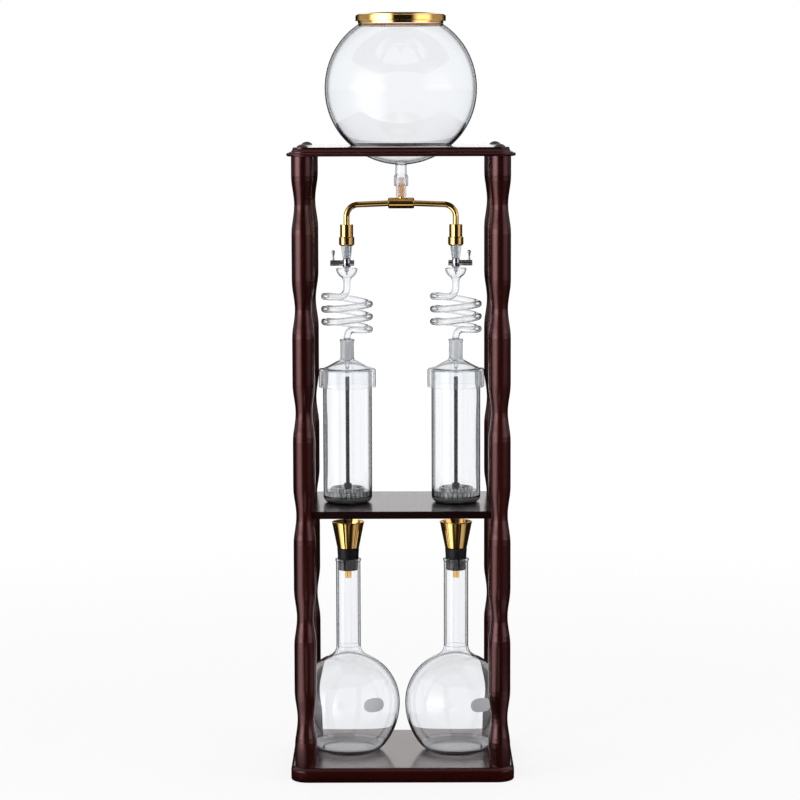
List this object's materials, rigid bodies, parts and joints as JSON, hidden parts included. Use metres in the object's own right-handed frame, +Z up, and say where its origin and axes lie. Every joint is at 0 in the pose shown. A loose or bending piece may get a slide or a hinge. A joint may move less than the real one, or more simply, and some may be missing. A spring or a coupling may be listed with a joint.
{
  "type": "cold drip coffee tower",
  "caption": "Cold drip coffee tower: glass water bowl on a turned wood rack, brass manifold with drip taps, glass spirals, grounds jars and round flasks.",
  "frame": {"origin": "middle of the base plate's underside, on the surface the tower stands on", "axes": "+Z up, +X to the right seen from the front, front faces -Y"},
  "size_m": [0.307, 0.24, 1.042],
  "materials": {
    "mahogany": "dark red-brown wood under gloss lacquer",
    "dark_wood": "near-black stained wood under gloss lacquer",
    "polished_brass": "polished, gold tone",
    "chromed_steel": "bright, fine turned lines",
    "blackened_steel": "blackened, bright on worn edges",
    "clear_glass": "clear borosilicate, ground joints frosted",
    "strainer_glass": "translucent pressed glass",
    "silicone": "translucent silicone, satin",
    "black_rubber": "moulded, satin"
  },
  "bodies": {
    "rack": {"base_plate": "mahogany", "top_plate": "mahogany", "shelf": "dark_wood", "post_front_left": "mahogany", "post_front_right": "mahogany", "post_rear_left": "mahogany", "post_rear_right": "mahogany", "top_bolts": "blackened_steel", "bottom_bolts": "blackened_steel", "shelf_dowels": "dark_wood"},
    "water_bowl": {"bowl": "clear_glass", "bowl_collar": "polished_brass", "bowl_plug": "silicone"},
    "bowl_lid": {"lid": "polished_brass"},
    "manifold": {"riser_tube": "polished_brass", "tee": "polished_brass", "arm_left": "polished_brass", "arm_right": "polished_brass", "union_left": "polished_brass", "union_right": "polished_brass", "union_nut_left": "polished_brass", "union_nut_right": "polished_brass", "tap_sleeve_left": "silicone", "tap_sleeve_right": "silicone", "tap_stem_left": "chromed_steel", "tap_stem_right": "chromed_steel", "tap_body_left": "chromed_steel", "tap_body_right": "chromed_steel", "drip_nozzle_left": "chromed_steel", "drip_nozzle_right": "chromed_steel"},
    "tap_left": {"tap_plug_left": "chromed_steel", "tap_lever_left": "chromed_steel"},
    "grounds_jar_left": {"jar_left": "clear_glass"},
    "strainer_set_left": {"strainer_left": "strainer_glass", "strainer_seal_left": "silicone", "strainer_hub_left": "chromed_steel", "strainer_rod_left": "chromed_steel"},
    "jar_hood_left": {"hood_left": "clear_glass"},
    "glass_spiral_left": {"spiral_left": "clear_glass"},
    "receiving_flask_left": {"flask_left": "clear_glass"},
    "funnel_set_left": {"stopper_left": "black_rubber", "funnel_left": "polished_brass"},
    "tap_right": {"tap_plug_right": "chromed_steel", "tap_lever_right": "chromed_steel"},
    "grounds_jar_right": {"jar_right": "clear_glass"},
    "strainer_set_right": {"strainer_right": "strainer_glass", "strainer_seal_right": "silicone", "strainer_hub_right": "chromed_steel", "strainer_rod_right": "chromed_steel"},
    "jar_hood_right": {"hood_right": "clear_glass"},
    "glass_spiral_right": {"spiral_right": "clear_glass"},
    "receiving_flask_right": {"flask_right": "clear_glass"},
    "funnel_set_right": {"stopper_right": "black_rubber", "funnel_right": "polished_brass"}
  },
  "joints": [
    {"name": "bowl_lift", "type": "slide", "parent": "rack", "child": "water_bowl", "axis": [0, 0, 1], "range_m": [0, 0.055]},
    {"name": "lid_lift", "type": "slide", "parent": "water_bowl", "child": "bowl_lid", "axis": [0, 0, 1], "range_m": [0, 0.06]},
    {"name": "manifold_swivel", "type": "hinge", "parent": "water_bowl", "child": "manifold", "pos_m": [0, 0, 0.8], "axis": [0, 0, 1], "range_deg": [-3, 3]},
    {"name": "tap_turn_left", "type": "hinge", "parent": "manifold", "child": "tap_left", "pos_m": [-0.075, 0, 0.70125], "axis": [1, 0, 0], "range_deg": [0, 90]},
    {"name": "jar_turn_left", "type": "hinge", "parent": "rack", "child": "grounds_jar_left", "pos_m": [-0.075, 0, 0.37], "axis": [0, 0, 1], "continuous": true},
    {"name": "strainer_lift_left", "type": "slide", "parent": "grounds_jar_left", "child": "strainer_set_left", "axis": [0, 0, 1], "range_m": [0, 0.006]},
    {"name": "hood_lift_left", "type": "slide", "parent": "grounds_jar_left", "child": "jar_hood_left", "axis": [0, 0, 1], "range_m": [0, 0.002]},
    {"name": "spiral_turn_left", "type": "hinge", "parent": "jar_hood_left", "child": "glass_spiral_left", "pos_m": [-0.075, 0, 0.58], "axis": [0, 0, 1], "continuous": true},
    {"name": "flask_slide_left", "type": "slide", "parent": "rack", "child": "receiving_flask_left", "axis": [-1, 0, 0], "range_m": [0, 0.07]},
    {"name": "funnel_lift_left", "type": "slide", "parent": "receiving_flask_left", "child": "funnel_set_left", "axis": [0, 0, 1], "range_m": [0, 0.016]},
    {"name": "tap_turn_right", "type": "hinge", "parent": "manifold", "child": "tap_right", "pos_m": [0.075, 0, 0.70125], "axis": [1, 0, 0], "range_deg": [0, 90]},
    {"name": "jar_turn_right", "type": "hinge", "parent": "rack", "child": "grounds_jar_right", "pos_m": [0.075, 0, 0.37], "axis": [0, 0, 1], "continuous": true},
    {"name": "strainer_lift_right", "type": "slide", "parent": "grounds_jar_right", "child": "strainer_set_right", "axis": [0, 0, 1], "range_m": [0, 0.006]},
    {"name": "hood_lift_right", "type": "slide", "parent": "grounds_jar_right", "child": "jar_hood_right", "axis": [0, 0, 1], "range_m": [0, 0.002]},
    {"name": "spiral_turn_right", "type": "hinge", "parent": "jar_hood_right", "child": "glass_spiral_right", "pos_m": [0.075, 0, 0.58], "axis": [0, 0, 1], "continuous": true},
    {"name": "flask_slide_right", "type": "slide", "parent": "rack", "child": "receiving_flask_right", "axis": [1, 0, 0], "range_m": [0, 0.07]},
    {"name": "funnel_lift_right", "type": "slide", "parent": "receiving_flask_right", "child": "funnel_set_right", "axis": [0, 0, 1], "range_m": [0, 0.016]}
  ]
}
